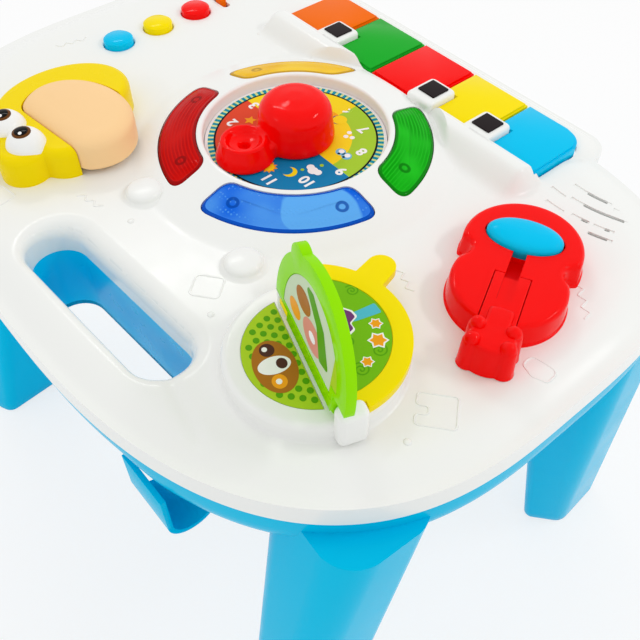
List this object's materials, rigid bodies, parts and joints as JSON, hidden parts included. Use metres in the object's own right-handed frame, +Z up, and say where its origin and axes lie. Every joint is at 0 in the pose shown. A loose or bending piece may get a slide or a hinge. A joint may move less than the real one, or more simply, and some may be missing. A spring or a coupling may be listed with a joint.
{
  "type": "musical activity table",
  "caption": "Child's musical activity table: white top with clock, keyboard, guitar, flip book and animal drum on a blue shell with splayed legs.",
  "frame": {"origin": "Bottom centre of the whole table: the floor under the four feet is z = 0.", "axes": "+Z up. -Y is the front, where the child sits at the keyboard. +Y is the back, with the hand hole. +X is the child's right, with the animal drum."},
  "size_m": [0.382, 0.3, 0.3187],
  "materials": {
    "white_abs": "gloss",
    "sky_abs": "gloss",
    "red_abs": "gloss",
    "yellow_abs": "gloss",
    "lime_abs": "gloss",
    "key_blue": "gloss",
    "key_green": "gloss",
    "key_orange": "gloss",
    "peach_abs": "satin",
    "black_abs": "gloss",
    "lens_blue": "gloss",
    "lens_red": "gloss",
    "lens_green": "gloss",
    "lens_yellow": "gloss",
    "printed_card": "satin",
    "grey_abs": "satin",
    "dark_abs": "satin",
    "silicone": "matte",
    "steel": "satin",
    "board": "satin",
    "cell": "satin"
  },
  "bodies": {
    "table": {"top_shell": "white_abs", "bottom_shell": "sky_abs", "leg_front_left": "sky_abs", "leg_front_right": "sky_abs", "leg_back_left": "sky_abs", "leg_back_right": "sky_abs", "under_hook": "sky_abs", "inner_tray": "grey_abs", "dial_plate": "printed_card", "lens_yellow": "lens_yellow", "lens_blue": "lens_blue", "lens_green": "lens_green", "lens_red": "lens_red", "sharp_inserts": "black_abs", "key_mat": "silicone", "guitar_body": "red_abs", "guitar_dome": "silicone", "hinge_rod": "steel", "plinth_label": "printed_card", "animal_face": "yellow_abs", "muzzle_dome": "silicone", "eye_whites": "white_abs", "eye_pupils": "black_abs", "speaker": "dark_abs", "light_boards": "board", "circuit_board": "board", "battery_case": "dark_abs", "battery_cells": "cell", "battery_contacts": "steel", "battery_door": "sky_abs", "door_screw": "steel", "case_screws": "steel", "leg_screws": "steel", "toy_screws": "steel", "switch_body": "dark_abs", "mode_mat": "silicone"},
    "pointer": {"clock_pointer": "red_abs", "pointer_axle": "steel", "axle_clip": "steel"},
    "key_one": {"key_1": "key_blue"},
    "key_two": {"key_2": "yellow_abs"},
    "key_three": {"key_3": "red_abs"},
    "key_four": {"key_4": "key_green"},
    "key_five": {"key_5": "key_orange"},
    "guitar_oval": {"guitar_button": "key_blue"},
    "guitar_slider": {"guitar_neck": "red_abs"},
    "book_yellow": {"page_yellow": "yellow_abs", "page_yellow_label": "printed_card"},
    "book_green": {"page_green": "lime_abs", "page_green_label": "printed_card", "page_green_back_label": "printed_card"},
    "muzzle": {"muzzle_drum": "peach_abs"},
    "power_knob": {"switch_knob": "key_orange"},
    "mode_one": {"mode_button_1": "red_abs"},
    "mode_two": {"mode_button_2": "yellow_abs"},
    "mode_three": {"mode_button_3": "key_blue"}
  },
  "joints": [
    {"name": "pointer_turn", "type": "hinge", "parent": "table", "child": "pointer", "pos_m": [0, -0.021, 0.2646], "axis": [0, 0, 1], "continuous": true},
    {"name": "key_1_press", "type": "slide", "parent": "table", "child": "key_one", "axis": [0, 0, -1], "range_m": [0, 0.003], "stiffness_N_per_m": 300, "springref_m": -0.002, "deforming": ["key_mat"]},
    {"name": "key_2_press", "type": "slide", "parent": "table", "child": "key_two", "axis": [0, 0, -1], "range_m": [0, 0.003], "stiffness_N_per_m": 300, "springref_m": -0.002, "deforming": ["key_mat"]},
    {"name": "key_3_press", "type": "slide", "parent": "table", "child": "key_three", "axis": [0, 0, -1], "range_m": [0, 0.003], "stiffness_N_per_m": 300, "springref_m": -0.002, "deforming": ["key_mat"]},
    {"name": "key_4_press", "type": "slide", "parent": "table", "child": "key_four", "axis": [0, 0, -1], "range_m": [0, 0.003], "stiffness_N_per_m": 300, "springref_m": -0.002, "deforming": ["key_mat"]},
    {"name": "key_5_press", "type": "slide", "parent": "table", "child": "key_five", "axis": [0, 0, -1], "range_m": [0, 0.003], "stiffness_N_per_m": 300, "springref_m": -0.002, "deforming": ["key_mat"]},
    {"name": "guitar_press", "type": "slide", "parent": "table", "child": "guitar_oval", "axis": [0, 0, -1], "range_m": [0, 0.0025], "stiffness_N_per_m": 300, "springref_m": -0.002, "deforming": ["guitar_dome"]},
    {"name": "guitar_slide", "type": "slide", "parent": "table", "child": "guitar_slider", "axis": [-0.4586, 0.8886, 0], "range_m": [0, 0.008]},
    {"name": "page_yellow_turn", "type": "hinge", "parent": "table", "child": "book_yellow", "pos_m": [-0.1168, 0.0646, 0.2742], "axis": [0.9472, -0.3206, 0], "range_deg": [-75, 0]},
    {"name": "page_green_turn", "type": "hinge", "parent": "table", "child": "book_green", "pos_m": [-0.1168, 0.0646, 0.2742], "axis": [0.9472, -0.3206, 0], "range_deg": [-94, 78]},
    {"name": "muzzle_press", "type": "slide", "parent": "table", "child": "muzzle", "axis": [0, 0, -1], "range_m": [0, 0.0025], "stiffness_N_per_m": 500, "springref_m": -0.002, "deforming": ["muzzle_dome"]},
    {"name": "switch_slide", "type": "slide", "parent": "table", "child": "power_knob", "axis": [1, 0, 0], "range_m": [-0.004, 0.004]},
    {"name": "mode_1_press", "type": "slide", "parent": "table", "child": "mode_one", "axis": [0, 0, -1], "range_m": [0, 0.002], "stiffness_N_per_m": 300, "springref_m": -0.002, "deforming": ["mode_mat"]},
    {"name": "mode_2_press", "type": "slide", "parent": "table", "child": "mode_two", "axis": [0, 0, -1], "range_m": [0, 0.002], "stiffness_N_per_m": 300, "springref_m": -0.002, "deforming": ["mode_mat"]},
    {"name": "mode_3_press", "type": "slide", "parent": "table", "child": "mode_three", "axis": [0, 0, -1], "range_m": [0, 0.002], "stiffness_N_per_m": 300, "springref_m": -0.002, "deforming": ["mode_mat"]}
  ]
}
